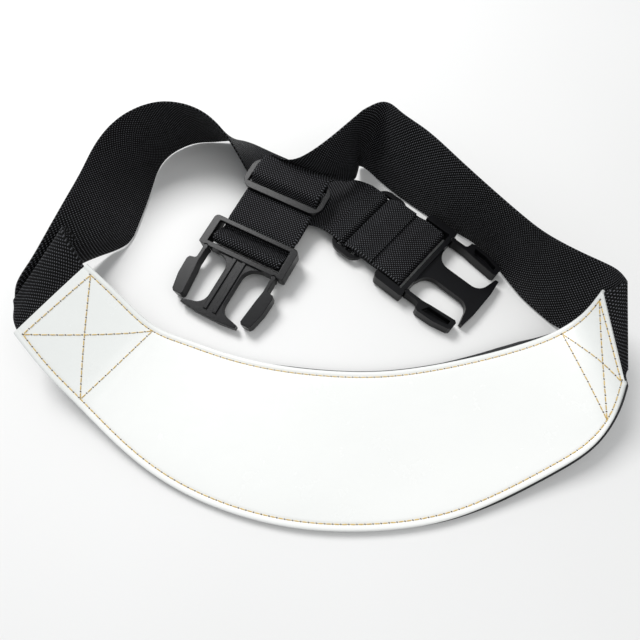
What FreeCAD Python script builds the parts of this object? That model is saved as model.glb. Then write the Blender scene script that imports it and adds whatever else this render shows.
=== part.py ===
"""Horse breastplate laid out on a table: a padded vinyl breast panel, two free webbing straps sewn
into its ends, and a tri-glide slider with a male side-release plug on each strap.

Lengths are millimetres, +Z is up and the table top is Z = 0. Each buckle is drawn in a frame of its
own: X runs along the webbing to the tip of the plug, Y across it, and Z = 0 is under the webbing.
"""
import FreeCAD, Part
import math
import os

import Sketcher
from FreeCAD import Matrix, Placement, Rotation, Vector

os.makedirs("parts", exist_ok=True)
doc = FreeCAD.newDocument("Breastplate")

# ---------------------------------------------------------------- driving dimensions
SIZES = {
    "webbing_width": 50.0,
    "webbing_thickness": 1.3,
    "layer_gap": 0.25,
    "face_thickness": 1.0,
    "lining_thickness": 0.8,
    "panel_glue_gap": 0.05,
    "plug_width": 62.5,
    "frame_height": 8.6,
    "frame_bottom": 0.4,
    "frame_back": 13.0,
    "frame_front": 9.5,
    "frame_wall": 4.9,
    "back_bar_length": 3.0,
    "back_bar_height": 2.9,
    "front_bar_length": 3.2,
    "loop_bar_radius": 2.4,
    "loop_bar_height": 5.0,
    "tongue_tip": 51.0,
    "tongue_thickness": 5.0,
    "tongue_bottom": 2.4,
    "tongue_half_width": 20.0,
    "stem_half_width": 6.0,
    "prong_pivot_along": 10.6,
    "prong_pivot_across": 25.3,
    "prong_pivot_radius": 1.6,
    "prong_height": 7.6,
    "prong_bottom": 1.0,
    "prong_tip": 46.0,
    "slider_width": 60.0,
    "slider_length": 24.0,
    "slider_thickness": 2.8,
    "slider_bottom": 4.95,
    "slider_bar_length": 4.6,
    "slider_bar_radius": 1.4,
    "slider_end_wall": 3.6,
    "slider_corner": 8.0,
    "tail_end": 20.0,
    "left_plug_slider_distance": 52.5,
    "right_plug_slider_distance": 40.0,
    "stitch_length": 3.0,
    "stitch_width": 0.7,
    "stitch_height": 0.35,
    "stitch_pitch": 4.2,
    "border_inset": 3.5,
}

sheet = doc.addObject("Spreadsheet::Sheet", "Sizes")
for row, (alias, value) in enumerate(SIZES.items(), start=1):
    sheet.set(f"A{row}", alias)
    sheet.set(f"B{row}", str(value))
    sheet.setAlias(f"B{row}", alias)
doc.recompute()


def size(alias):
    """The value of one cell of the sheet."""
    return float(sheet.get(alias))


# ---------------------------------------------------------------- the lie of the object
# Rulings of the panel, left end to right end: a point of its inner edge and one of its outer edge.
PANEL_RULINGS = [
    ((-137, 145, 31), (-169, 101, 31)),
    ((-118, 129, 20), (-153, 82, 20)),
    ((-101, 115, 12), (-136, 66, 12)),
    ((-81, 107, 7), (-111, 44, 6)),
    ((-60, 100, 5), (-83, 25, 3)),
    ((-24, 91, 5), (-36, 7, 2)),
    ((18, 87, 5), (10, 1, 2)),
    ((54, 89, 5), (55, 4, 2)),
    ((96, 97, 6), (97, 17, 4)),
    ((120, 103, 9), (127, 31, 8)),
    ((143, 111, 15), (150, 46, 14)),
    ((154, 118, 25), (160, 60, 20)),
    ((159, 125, 37), (163.5, 73, 28)),
]

# The left strap beyond the panel: it rises to a ridge, folds down behind it, folds again at a crease
# and runs on its edge to the right plug. Each ruling is upper selvedge, lower selvedge.
LEFT_RISE = [
    ((-170, 110, 34), (-143, 151, 40)),
    ((-171, 116, 34), (-147, 158, 45)),
]
LEFT_FOLD = [
    ((-171, 116, 34), (-147, 158, 45)),
    ((-171, 117, 33), (-150, 164, 26)),
    ((-171, 118, 32), (-151, 167, 6)),
]
LEFT_RUN = [
    ((-171, 118, 32), (-151, 167, 6)),
    ((-168, 135, 38), (-143, 172, 3)),
    ((-161, 155, 39), (-135, 179, 2)),
    ((-155, 173, 41), (-127, 189, 1.5)),
    ((-146, 207, 44), (-121, 221, 1)),
    ((-140, 226, 46), (-119, 238, 1)),
    ((-128, 244, 48), (-115, 251, 1)),
    ((-112, 254, 49), (-107, 261, 1)),
    ((-97, 256, 49), (-95, 268, 1)),
    ((-76, 250, 46), (-79, 270, 1)),
    ((-60, 238, 34), (-60, 269, 2)),
    ((-50, 230, 11), (-40, 261, 1)),
    ((-34, 208, 4), (-14, 247, 1)),
    ((-15, 194, 4), (13, 235, 2)),
]

# The right strap beyond the panel: it folds over at the panel's end and runs to the left plug.
RIGHT_RISE = [
    ((163.5, 124.5, 42), (164.3, 77, 30)),
    ((167, 126, 46), (167, 80, 31.5)),
]
RIGHT_RUN = [
    ((167, 126, 46), (167, 80, 31.5)),
    ((165.5, 132, 45.5), (164, 91, 20)),
    ((159.5, 139.3, 46.5), (153.5, 108.5, 8)),
    ((150, 142, 47), (146, 119, 2)),
    ((133, 152, 49), (128, 141, 1)),
    ((118, 163, 50), (109, 174, 2)),
    ((103, 180, 50), (95, 187, 1)),
    ((82, 212, 49), (74, 203, 1)),
    ((66, 233, 49), (57, 218, 1)),
    ((51, 250, 48), (43, 233, 1)),
    ((39, 258, 47), (32, 245, 1)),
    ((28, 252, 46), (28, 245, 2)),
]
RIGHT_DROP = [
    ((28, 252, 46), (28, 245, 2)),
    ((18, 241, 46), (27, 240, 3)),
    ((6, 231, 43), (25, 235, 5)),
    ((-8, 226, 35), (21, 229, 9)),
    ((-22, 231, 24), (15, 221, 13)),
]

# Where each plug lies: its loop bar's place, its heading in degrees, how far its tip dips, its side up.
LEFT_PLUG_PLACE = (-46.3, 168.2, 4.6)
LEFT_PLUG_HEADING = -118.0
LEFT_PLUG_DIP = 6.5
RIGHT_PLUG_PLACE = (63.7, 164.9, 9.75)
RIGHT_PLUG_HEADING = -41.5
RIGHT_PLUG_DIP = 2.0

# The middle of the object's footprint at its lowest point, which becomes the origin.
FOOTPRINT_CENTRE = Vector(-2.0, 135.4, -0.45)


def laid(point):
    """A point of the layout, measured from the origin."""
    return Vector(*point) - FOOTPRINT_CENTRE


def buckle_placement(place, heading, dip, upside_down):
    """Frame of a buckle that lies on the table: X along the webbing, Z out of its upper side."""
    turn = math.radians(heading)
    drop = math.radians(dip)
    along = Vector(math.cos(turn) * math.cos(drop), math.sin(turn) * math.cos(drop), -math.sin(drop))
    across = Vector(-math.sin(turn), math.cos(turn), 0)
    if upside_down:
        across = across * -1
    out = along.cross(across)
    base = laid(place)
    axes = Matrix(along.x, across.x, out.x, base.x,
                  along.y, across.y, out.y, base.y,
                  along.z, across.z, out.z, base.z,
                  0, 0, 0, 1)
    return Placement(axes)


LEFT_FRAME = buckle_placement(LEFT_PLUG_PLACE, LEFT_PLUG_HEADING, LEFT_PLUG_DIP, False)
RIGHT_FRAME = buckle_placement(RIGHT_PLUG_PLACE, RIGHT_PLUG_HEADING, RIGHT_PLUG_DIP, True)


# ---------------------------------------------------------------- ribbons: the panel and the free webbing
def station_axes(rulings, start_along=None, end_along=None):
    """Middle, half width vector and unit normal of every ruling of a ribbon."""
    middles = [(a + b) * 0.5 for a, b in rulings]
    axes = []
    for index, (a, b) in enumerate(rulings):
        before = middles[max(index - 1, 0)]
        after = middles[min(index + 1, len(middles) - 1)]
        along = after - before
        if index == 0 and start_along is not None:
            along = start_along
        if index == len(rulings) - 1 and end_along is not None:
            along = end_along
        normal = along.cross(b - a)
        normal.normalize()
        if axes and normal.dot(axes[-1][2]) < 0:
            normal = normal * -1
        axes.append((middles[index], (b - a) * 0.5, normal))
    return axes


def long_edge(points, knots, start_along, end_along):
    """Smooth edge through one corner of every station."""
    curve = Part.BSplineCurve()
    if start_along is None and end_along is None:
        curve.interpolate(Points=points, Parameters=knots)
        return curve
    first = Vector(start_along or (points[1] - points[0])).normalize()
    last = Vector(end_along or (points[-1] - points[-2])).normalize()
    curve.interpolate(Points=points, Parameters=knots, InitialTangent=first, FinalTangent=last)
    return curve


def ribbon(rulings, low, high, start_along=None, end_along=None):
    """Solid strip through the rulings, from low to high along its normal."""
    axes = station_axes(rulings, start_along, end_along)
    knots = [0.0]
    for (first, _, _), (second, _, _) in zip(axes, axes[1:]):
        knots.append(knots[-1] + (second - first).Length)
    edges = {}
    corners = {}
    for side in (-1, 1):
        for level in (low, high):
            points = [middle + half * side + normal * level for middle, half, normal in axes]
            edges[side, level] = long_edge(points, knots, start_along, end_along)
            corners[side, level] = points
    faces = [
        edges[-1, low].makeRuledSurface(edges[1, low]).toShape(),
        edges[-1, high].makeRuledSurface(edges[1, high]).toShape(),
        edges[-1, low].makeRuledSurface(edges[-1, high]).toShape(),
        edges[1, low].makeRuledSurface(edges[1, high]).toShape(),
    ]
    for end in (0, -1):
        loop = [corners[-1, low][end], corners[1, low][end], corners[1, high][end], corners[-1, high][end]]
        faces.append(Part.Face(Part.makePolygon(loop + loop[:1])))
    shell = Part.makeShell(faces)
    shell.sewShape()
    solid = Part.Solid(shell.Shells[0] if shell.Shells else shell)
    solid.fix(0.001, 0.001, 0.001)
    if solid.Volume < 0:
        solid.reverse()
    return solid


def narrowed(ruling, inset_first, inset_second):
    """A ruling cut shorter at each end by the given lengths."""
    a, b = ruling
    unit = Vector(b - a).normalize()
    return a + unit * inset_first, b - unit * inset_second


def denser(rulings, parts, start_along=None, end_along=None):
    """The same strip with its rulings divided, each gap into so many parts."""
    knots = [0.0]
    for (a, b), (c, d) in zip(rulings, rulings[1:]):
        knots.append(knots[-1] + ((c + d - a - b) * 0.5).Length)
    edges = [long_edge([ruling[side] for ruling in rulings], knots, start_along, end_along) for side in (0, 1)]
    places = []
    for start, finish in zip(knots, knots[1:]):
        places += [start + (finish - start) * part / parts for part in range(parts)]
    places.append(knots[-1])
    return [(edges[0].value(place), edges[1].value(place)) for place in places]


# ---------------------------------------------------------------- webbing threaded through a slider and a plug
def tangent_line(first, second):
    """Ends of the straight run that leaves one wheel and meets the next.

    A wheel is (x, z, radius, turn), where turn is 1 anticlockwise and -1 clockwise.
    """
    x1, z1, r1, t1 = first
    x2, z2, r2, t2 = second
    distance = math.hypot(x2 - x1, z2 - z1)
    base = math.atan2(z2 - z1, x2 - x1)
    heading = base + math.asin((t1 * r1 - t2 * r2) / distance)
    normal = (math.sin(heading), -math.cos(heading))
    start = (x1 + normal[0] * r1 * t1, z1 + normal[1] * r1 * t1)
    finish = (x2 + normal[0] * r2 * t2, z2 + normal[1] * r2 * t2)
    return start, finish, heading


def belt(wheels):
    """Runs and arcs of a belt that goes round the wheels in order; zero radius marks an end."""
    lines = [tangent_line(first, second) for first, second in zip(wheels, wheels[1:])]
    pieces = []
    for index, (start, finish, heading) in enumerate(lines):
        pieces.append(("run", start, finish, heading))
        if index < len(lines) - 1:
            x, z, radius, turn = wheels[index + 1]
            sweep = (lines[index + 1][2] - heading) * turn % (2 * math.pi) * turn
            pieces.append(("arc", (x, z), radius, heading, sweep))
    return pieces


def strip_face(pieces, half):
    """Section of the webbing: the belt's line thickened by half on each side."""
    def at(x, z):
        return Vector(x, 0, z)

    sides = {1: [], -1: []}
    ends = {}
    for piece in pieces:
        for side in (1, -1):
            if piece[0] == "run":
                _, start, finish, heading = piece
                off = (-math.sin(heading) * half * side, math.cos(heading) * half * side)
                first = at(start[0] + off[0], start[1] + off[1])
                last = at(finish[0] + off[0], finish[1] + off[1])
                sides[side].append(Part.LineSegment(first, last).toShape())
            else:
                _, (x, z), radius, heading, sweep = piece
                turn = 1 if sweep > 0 else -1
                reach = radius - half * side * turn
                angles = [heading - turn * math.pi / 2 + sweep * step for step in (0, 0.5, 1)]
                points = [at(x + reach * math.cos(angle), z + reach * math.sin(angle)) for angle in angles]
                sides[side].append(Part.Arc(*points).toShape())
    for side in (1, -1):
        ends[side] = (sides[side][0].Vertexes[0].Point, sides[side][-1].Vertexes[-1].Point)
    caps = [Part.LineSegment(ends[1][k], ends[-1][k]).toShape() for k in (0, 1)]
    edges = Part.sortEdges(sides[1] + sides[-1] + caps)[0]
    return Part.Face(Part.Wire(edges))


def threading(slider_distance, run_in):
    """Belt of the webbing: in under the slider, round the plug's loop bar, and back round the slider's bar."""
    thick = size("webbing_thickness")
    step = thick + size("layer_gap")
    tail_z = size("layer_gap") + thick / 2
    back_z = tail_z + step
    main_z = back_z + step
    slider_x = -slider_distance
    bar_z = size("slider_bottom") + size("slider_thickness") / 2
    loop = size("slider_bar_radius") + size("layer_gap") + thick / 2
    bend = 2.4
    side = 7.1
    plug_loop = size("loop_bar_radius") + size("layer_gap") + thick / 2
    down = 6.0
    ease_x = 1.5 - size("tail_end")
    rise_x = -10.3
    wheels = [
        (slider_x - run_in, main_z, 0, 1),
        (slider_x - side, main_z + bend, bend, 1),
        (slider_x, bar_z, loop + step, -1),
        (slider_x + side, main_z + bend, bend, 1),
        (ease_x, back_z - down, down + step, -1),
        (rise_x, back_z + down, down, 1),
        (0, size("loop_bar_height"), plug_loop, -1),
        (rise_x, back_z + down, down + step, -1),
        (ease_x, back_z - down, down, 1),
        (slider_x + side, main_z + bend, bend + step, -1),
        (slider_x, bar_z, loop, 1),
        (slider_x + side, main_z + bend, bend + 2 * step, 1),
        (-size("tail_end"), tail_z, 0, 1),
    ]
    return belt(wheels)


def threaded_webbing(slider_distance, run_in, frame):
    """Solid of the threaded end of a strap, placed with its buckle."""
    face = strip_face(threading(slider_distance, run_in), size("webbing_thickness") / 2)
    width = size("webbing_width")
    face.translate(Vector(0, -width / 2, 0))
    solid = face.extrude(Vector(0, width, 0))
    solid.Placement = frame
    return solid


# ---------------------------------------------------------------- sketches and bodies of the moulded parts
def value(formula):
    """Number given by a formula on the sheet's cells."""
    return float(sheet.evalExpression(formula))


def origin_plane(body, role):
    """One of the body's own origin planes."""
    return next(item for item in body.Origin.OriginFeatures if item.Role == role)


def new_sketch(body, role, lift="0"):
    """Empty sketch on a plane of the body, lifted off it by a formula."""
    sketch = body.newObject("Sketcher::SketchObject", "Sketch")
    sketch.AttachmentSupport = (origin_plane(body, role), [""])
    sketch.MapMode = "FlatFace"
    sketch.setExpression("AttachmentOffset.Base.z", lift)
    doc.recompute()
    return sketch


def drive(sketch, constraint, formula):
    """Add a dimension and bind it to the sheet."""
    index = sketch.addConstraint(constraint)
    sketch.setExpression(f"Constraints[{index}]", formula)


def hold_point(sketch, edge, end, across, up):
    """Tie a point of the sketch to two formulas."""
    for kind, formula in (("DistanceX", across), ("DistanceY", up)):
        number = value(formula)
        if abs(number) < 1e-9:
            target = -2 if kind == "DistanceX" else -1
            sketch.addConstraint(Sketcher.Constraint("PointOnObject", edge, end, target))
        elif number > 0:
            drive(sketch, Sketcher.Constraint(kind, -1, 1, edge, end, number), formula)
        else:
            drive(sketch, Sketcher.Constraint(kind, edge, end, -1, 1, -number), f"-({formula})")


def draw_polygon(sketch, corners):
    """Closed outline whose corners are pairs of formulas."""
    first = sketch.GeometryCount
    points = [Vector(value(across), value(up), 0) for across, up in corners]
    for start, finish in zip(points, points[1:] + points[:1]):
        sketch.addGeometry(Part.LineSegment(start, finish), False)
    count = len(points)
    for step in range(count):
        following = first + (step + 1) % count
        sketch.addConstraint(Sketcher.Constraint("Coincident", first + step, 2, following, 1))
    for step, (across, up) in enumerate(corners):
        hold_point(sketch, first + step, 1, across, up)


def draw_rectangle(sketch, left, right, bottom, top):
    """Rectangle between four formulas."""
    draw_polygon(sketch, [(left, bottom), (right, bottom), (right, top), (left, top)])


def draw_circle(sketch, across, up, radius):
    """Circle given by three formulas."""
    centre = Vector(value(across), value(up), 0)
    edge = sketch.addGeometry(Part.Circle(centre, Vector(0, 0, 1), value(radius)), False)
    hold_point(sketch, edge, 3, across, up)
    drive(sketch, Sketcher.Constraint("Radius", edge, value(radius)), radius)


def pad(body, sketch, height, both_ways=False):
    """Raise a sketch by a formula."""
    feature = body.newObject("PartDesign::Pad", "Pad")
    feature.Profile = sketch
    feature.Midplane = both_ways
    feature.setExpression("Length", height)
    doc.recompute()
    return feature


def pocket(body, sketch, depth, upward=True):
    """Cut a sketch out of the body by a formula, upward from its plane or downward."""
    before = body.Shape.Volume
    feature = body.newObject("PartDesign::Pocket", "Pocket")
    feature.Profile = sketch
    feature.Reversed = upward
    feature.setExpression("Length", depth)
    doc.recompute()
    if body.Shape.Volume > before - 1e-6:
        raise RuntimeError(f"{body.Label}: a pocket removes nothing")
    return feature


def round_edges(body, wanted, radius):
    """Fillet the edges that run up through the given places."""
    base = body.Tip
    names = []
    for number, edge in enumerate(base.Shape.Edges, start=1):
        middle = edge.CenterOfMass
        run = edge.Vertexes[-1].Point - edge.Vertexes[0].Point
        upright = run.Length > 0.5 and math.hypot(run.x, run.y) < 1e-4
        near = any(math.hypot(middle.x - x, middle.y - y) < 0.05 for x, y in wanted)
        if upright and near:
            names.append(f"Edge{number}")
    if not names:
        raise RuntimeError(f"{body.Label}: no edge to round")
    feature = body.newObject("PartDesign::Fillet", "Fillet")
    feature.Base = (base, names)
    feature.setExpression("Radius", radius)
    doc.recompute()
    return feature


NODES = []


def new_body(label, placement):
    """Body that becomes one part file."""
    body = doc.addObject("PartDesign::Body", label)
    body.Label = label
    body.Placement = placement
    NODES.append(body)
    return body


def new_feature(label, shape):
    """Sewn or woven part that becomes one part file."""
    feature = doc.addObject("Part::Feature", label)
    feature.Label = label
    feature.Shape = shape
    NODES.append(feature)
    return feature


def build_plug_frame(label, placement):
    """Male half of the side-release buckle: webbing frame, loop bar and guide tongue."""
    body = new_body(label, placement)
    half = "Sizes.plug_width / 2"
    slot = f"({half} - Sizes.frame_wall)"
    back = "Sizes.frame_back"
    front = "Sizes.frame_front"
    behind = "(Sizes.frame_back - Sizes.back_bar_length)"
    ahead = "(Sizes.frame_front - Sizes.front_bar_length)"

    block = new_sketch(body, "XY_Plane", "Sizes.frame_bottom")
    draw_rectangle(block, f"-{back}", front, f"-{half}", half)
    pad(body, block, "Sizes.frame_height")
    w = size("plug_width") / 2
    round_edges(body, [(-size("frame_back"), w), (-size("frame_back"), -w)], "3")
    round_edges(body, [(size("frame_front"), w), (size("frame_front"), -w)], "1.2")

    opening = new_sketch(body, "XY_Plane", "Sizes.frame_bottom")
    draw_rectangle(opening, f"-{behind}", ahead, f"-{slot}", slot)
    pocket(body, opening, "Sizes.frame_height")
    under_bar = new_sketch(body, "XY_Plane", "Sizes.frame_bottom")
    draw_rectangle(under_bar, f"-{back} - 1", f"-{behind} + 1", f"-{slot}", slot)
    pocket(body, under_bar, "Sizes.frame_height - Sizes.back_bar_height")

    bar = new_sketch(body, "XZ_Plane")
    draw_circle(bar, "0", "Sizes.loop_bar_height", "Sizes.loop_bar_radius")
    pad(body, bar, f"2 * {slot} + 2", both_ways=True)

    stem = "Sizes.stem_half_width"
    wing = "Sizes.tongue_half_width"
    tip = "Sizes.tongue_tip"
    tongue = new_sketch(body, "XY_Plane", "Sizes.tongue_bottom")
    right_side = [
        (f"{front} - 1", "17"),
        (front, "17"),
        (f"{front} + 3.5", stem),
        (f"{tip} - 6.8", stem),
        (f"{tip} - 3.4", f"{wing}"),
        (f"{tip} - 1.2", f"{wing}"),
        (tip, "9"),
    ]
    left_side = [(along, f"-{across}") for along, across in reversed(right_side)]
    draw_polygon(tongue, right_side + left_side)
    pad(body, tongue, "Sizes.tongue_thickness")
    near_stem = size("frame_front") + 3.5
    far_stem = size("tongue_tip") - 6.8
    for along, radius in ((near_stem, "9"), (far_stem, "8")):
        round_edges(body, [(along, size("stem_half_width")), (along, -size("stem_half_width"))], radius)

    ribs = new_sketch(body, "XY_Plane", "Sizes.tongue_bottom + Sizes.tongue_thickness - 0.5")
    for sign in ("", "-"):
        near, far = f"{sign}2.2", f"{sign}4.6"
        low, high = (near, far) if sign == "" else (far, near)
        draw_rectangle(ribs, f"{front} - 0.5", f"{tip} - 4", low, high)
    pad(body, ribs, "1.5")

    sockets = new_sketch(body, "XY_Plane")
    for sign in ("", "-"):
        draw_circle(sockets, "Sizes.prong_pivot_along", f"{sign}Sizes.prong_pivot_across",
                    "Sizes.prong_pivot_radius + 0.3")
    pocket(body, sockets, "Sizes.frame_height + 2")
    return body


def build_prong(label, placement, sign):
    """One spring prong of the plug: round root, thin arm and hollow paddle, hinged about the root."""
    body = new_body(label, placement)
    across = "Sizes.prong_pivot_across"
    along = "Sizes.prong_pivot_along"
    tip = "Sizes.prong_tip"

    def flipped(points):
        if sign > 0:
            return points
        return [(x, f"-({y})") for x, y in reversed(points)]

    root = new_sketch(body, "XY_Plane", "Sizes.prong_bottom")
    draw_circle(root, along, across if sign > 0 else f"-{across}", "Sizes.prong_pivot_radius")
    pad(body, root, "Sizes.prong_height")
    outline = [
        (along, f"{across} - 1.2"),
        (f"{along} + 11", f"{across} - 1.2"),
        (f"{tip} - 18", f"{across} - 2.2"),
        (f"{tip} - 1.5", f"{across} - 4"),
        (tip, f"{across} - 2.8"),
        (tip, f"{across} + 2.2"),
        (f"{tip} - 1.5", f"{across} + 3.6"),
        (f"{tip} - 12", f"{across} + 6"),
        (f"{tip} - 23", f"{across} + 6.6"),
        (f"{tip} - 25", f"{across} + 5.6"),
        (f"{tip} - 26", f"{across} + 1.2"),
        (along, f"{across} + 1.2"),
    ]
    paddle = new_sketch(body, "XY_Plane", "Sizes.prong_bottom")
    draw_polygon(paddle, flipped(outline))
    pad(body, paddle, "Sizes.prong_height")
    reach = size("prong_pivot_across")
    far = size("prong_tip")
    round_edges(body, [(far - 26, sign * (reach + 1.2)), (far - 12, sign * (reach + 6))], "2")
    hollow = [
        (f"{tip} - 19", f"{across} - 0.4"),
        (f"{tip} - 3.2", f"{across} - 1.6"),
        (f"{tip} - 3.2", f"{across} + 1.4"),
        (f"{tip} - 12", f"{across} + 3.8"),
        (f"{tip} - 21.5", f"{across} + 4.4"),
    ]
    recess = new_sketch(body, "XY_Plane", "Sizes.prong_bottom")
    draw_polygon(recess, flipped(hollow))
    pocket(body, recess, "Sizes.prong_height * 0.55")
    return body


def build_slider(label, placement):
    """Three-bar slider with a round middle bar; its own X = 0 is the middle bar."""
    body = new_body(label, placement)
    half_length = "Sizes.slider_length / 2"
    half_width = "Sizes.slider_width / 2"
    window = f"({half_width} - Sizes.slider_end_wall)"
    bay = f"({half_length} - Sizes.slider_bar_length)"
    plate = new_sketch(body, "XY_Plane", "Sizes.slider_bottom")
    draw_rectangle(plate, f"-{half_length}", half_length, f"-{half_width}", half_width)
    pad(body, plate, "Sizes.slider_thickness")
    x, y = size("slider_length") / 2, size("slider_width") / 2
    round_edges(body, [(x, y), (x, -y), (-x, y), (-x, -y)], "Sizes.slider_corner")
    hole = new_sketch(body, "XY_Plane", "Sizes.slider_bottom")
    draw_rectangle(hole, f"-{bay}", bay, f"-{window}", window)
    pocket(body, hole, "Sizes.slider_thickness")
    bar = new_sketch(body, "XZ_Plane")
    draw_circle(bar, "0", "Sizes.slider_bottom + Sizes.slider_thickness / 2", "Sizes.slider_bar_radius")
    pad(body, bar, f"2 * {window} + 2", both_ways=True)
    return body


# ---------------------------------------------------------------- stitches
def stitch_row(path, normals, pitch, length, lift):
    """Short thread ends laid along a line, each its own small block."""
    width = size("stitch_width")
    height = size("stitch_height")
    blocks = []
    travelled = 0.0
    due = pitch / 2
    for (start, finish), (normal, _) in zip(zip(path, path[1:]), zip(normals, normals[1:])):
        run = finish - start
        while due < travelled + run.Length:
            along = Vector(run).normalize()
            across = normal.cross(along).normalize()
            out = along.cross(across).normalize()
            middle = start + along * (due - travelled)
            block = Part.makeBox(length, width, height, Vector(-length / 2, -width / 2, 0))
            axes = Matrix(along.x, across.x, out.x, middle.x + out.x * lift,
                          along.y, across.y, out.y, middle.y + out.y * lift,
                          along.z, across.z, out.z, middle.z + out.z * lift,
                          0, 0, 0, 1)
            block.Placement = Placement(axes)
            blocks.append(block)
            due += pitch
        travelled += run.Length
    return blocks


def spread(rulings, share, count):
    """Evenly spaced points along a smooth line at a fixed share of the rulings' width, and its normals."""
    axes = station_axes(rulings)
    points = [middle + half * share(half.Length) for middle, half, _ in axes]
    curve = Part.BSplineCurve()
    curve.interpolate(Points=points)
    levels = Part.BSplineCurve()
    levels.interpolate(Points=[point + axis[2] for point, axis in zip(points, axes)],
                       Parameters=curve.getKnots())
    path = []
    normals = []
    for step in range(count + 1):
        place = curve.FirstParameter + (curve.LastParameter - curve.FirstParameter) * step / count
        path.append(curve.value(place))
        normals.append(levels.value(place) - curve.value(place))
    return path, normals


def straight_row(first, second, pitch, length, lift):
    """Stitches between two (point, normal) pairs."""
    (start, start_normal), (finish, finish_normal) = first, second
    steps = 12
    path = [start + (finish - start) * (step / steps) for step in range(steps + 1)]
    normals = [start_normal + (finish_normal - start_normal) * (step / steps) for step in range(steps + 1)]
    return stitch_row(path, normals, pitch, length, lift)


def surface_point(rulings, place, share):
    """Point and normal on the smooth strip at a place counted in stations and a share of the half width."""
    axes = station_axes(rulings)
    index = min(int(place), len(axes) - 2)
    blend = place - index
    (m0, h0, n0), (m1, h1, n1) = axes[index], axes[index + 1]
    middle = m0 + (m1 - m0) * blend
    half = h0 + (h1 - h0) * blend
    return middle + half * share, (n0 + (n1 - n0) * blend).normalize()


# ---------------------------------------------------------------- panel and straps
THREAD_TOP = 0.12
PARTS = 4
panel = denser([(laid(outer), laid(inner)) for inner, outer in PANEL_RULINGS], PARTS)
sewn_count = 2 * PARTS + 1
core = panel[3 * PARTS:-3 * PARTS]
half_web = size("webbing_width") / 2
half_thick = size("webbing_thickness") / 2
face_low = half_thick + size("panel_glue_gap")
face_high = face_low + size("face_thickness")
lining_low = -face_low - size("lining_thickness")

new_feature("panel_face", ribbon(panel, face_low, face_high))
new_feature("panel_lining", ribbon(panel[:-1], lining_low, -face_low))
new_feature("panel_core", ribbon([narrowed(pair, 4, 4) for pair in core], -half_thick, half_thick))


def sewn_end(rulings):
    """The strap's sewn-in run: a webbing-wide band along the middle of the panel's end."""
    ends = []
    for a, b in rulings:
        spare = ((b - a).Length - size("webbing_width")) / 2
        ends.append(narrowed((a, b), spare, spare))
    return ends


def strap_join(slider_distance, run_in, frame):
    """Ruling and heading where the free webbing meets its threaded end."""
    thick = size("webbing_thickness")
    level = size("layer_gap") + thick / 2 + 2 * (thick + size("layer_gap"))
    start = -slider_distance - run_in
    a = frame.multVec(Vector(start, -half_web, level))
    b = frame.multVec(Vector(start, half_web, level))
    along = frame.Rotation.multVec(Vector(1, 0, 0))
    return a, b, along


LEFT_RUN_IN = 16.0
RIGHT_RUN_IN = 13.0
LEFT_DISTANCE = size("left_plug_slider_distance")
RIGHT_DISTANCE = size("right_plug_slider_distance")


LEFT_CUTS = (0, 3, 5, 7, 9, 11, 13)
RIGHT_CUTS = (0, 2, 4, 5, 7, 9, 11)


def laid_run(rulings):
    """Rulings of the layout measured from the origin."""
    return [(laid(a), laid(b)) for a, b in rulings]


def shortened(rulings, cuts):
    """A long curved run as a row of short strips, cut at the given rulings."""
    dense = denser(rulings, PARTS)
    return [dense[start * PARTS:finish * PARTS + 1] for start, finish in zip(cuts, cuts[1:])]


def strap(pieces, end_along):
    """Strap made of strips that meet face to face; the last one runs on into the threaded end."""
    strips = [ribbon(rulings, -half_thick, half_thick) for rulings in pieces[:-1]]
    last = pieces[-1]
    start = (last[1][0] + last[1][1] - last[0][0] - last[0][1]).normalize()
    strips.append(ribbon(last, -half_thick, half_thick, start, end_along))
    return Part.makeCompound(strips)


join_a, join_b, left_heading = strap_join(RIGHT_DISTANCE, LEFT_RUN_IN, RIGHT_FRAME)
left_run = shortened(laid_run(LEFT_RUN), LEFT_CUTS)
left_sewn = sewn_end(panel[:sewn_count])[::-1]
left_pieces = [
    left_sewn,
    left_sewn[-1:] + laid_run(LEFT_RISE),
    laid_run(LEFT_FOLD),
    *left_run[:-1],
    left_run[-1][::PARTS] + [(join_b, join_a)],
]
join_c, join_d, right_heading = strap_join(LEFT_DISTANCE, RIGHT_RUN_IN, LEFT_FRAME)
right_sewn = [(b, a) for a, b in sewn_end(panel[-sewn_count:])]
right_pieces = [
    right_sewn,
    right_sewn[-1:] + laid_run(RIGHT_RISE),
    *shortened(laid_run(RIGHT_RUN), RIGHT_CUTS),
    laid_run(RIGHT_DROP) + [(join_c, join_d)],
]
new_feature("left_strap", strap(left_pieces, left_heading))
new_feature("right_strap", strap(right_pieces, right_heading))
new_feature("left_strap_loop", threaded_webbing(RIGHT_DISTANCE, LEFT_RUN_IN - 0.1, RIGHT_FRAME))
new_feature("right_strap_loop", threaded_webbing(LEFT_DISTANCE, RIGHT_RUN_IN - 0.1, LEFT_FRAME))

# ---------------------------------------------------------------- buckles
for side, frame, distance in (("left", LEFT_FRAME, LEFT_DISTANCE), ("right", RIGHT_FRAME, RIGHT_DISTANCE)):
    build_plug_frame(f"{side}_plug_frame", frame)
    build_prong(f"{side}_plug_prong_a", frame, 1)
    build_prong(f"{side}_plug_prong_b", frame, -1)
    along = frame.Rotation.multVec(Vector(-distance, 0, 0))
    build_slider(f"{side}_slider", Placement(frame.Base + along, frame.Rotation))

# ---------------------------------------------------------------- stitching
pitch = size("stitch_pitch")
length = size("stitch_length")
inset = size("border_inset")
thread_lift = face_high + THREAD_TOP
border = []
for sign in (-1, 1):
    path, normals = spread(panel, lambda half: sign * (half - inset) / half, 120)
    border += stitch_row(path, normals, pitch, length, thread_lift)
new_feature("border_stitching", Part.makeCompound(border))

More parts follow.
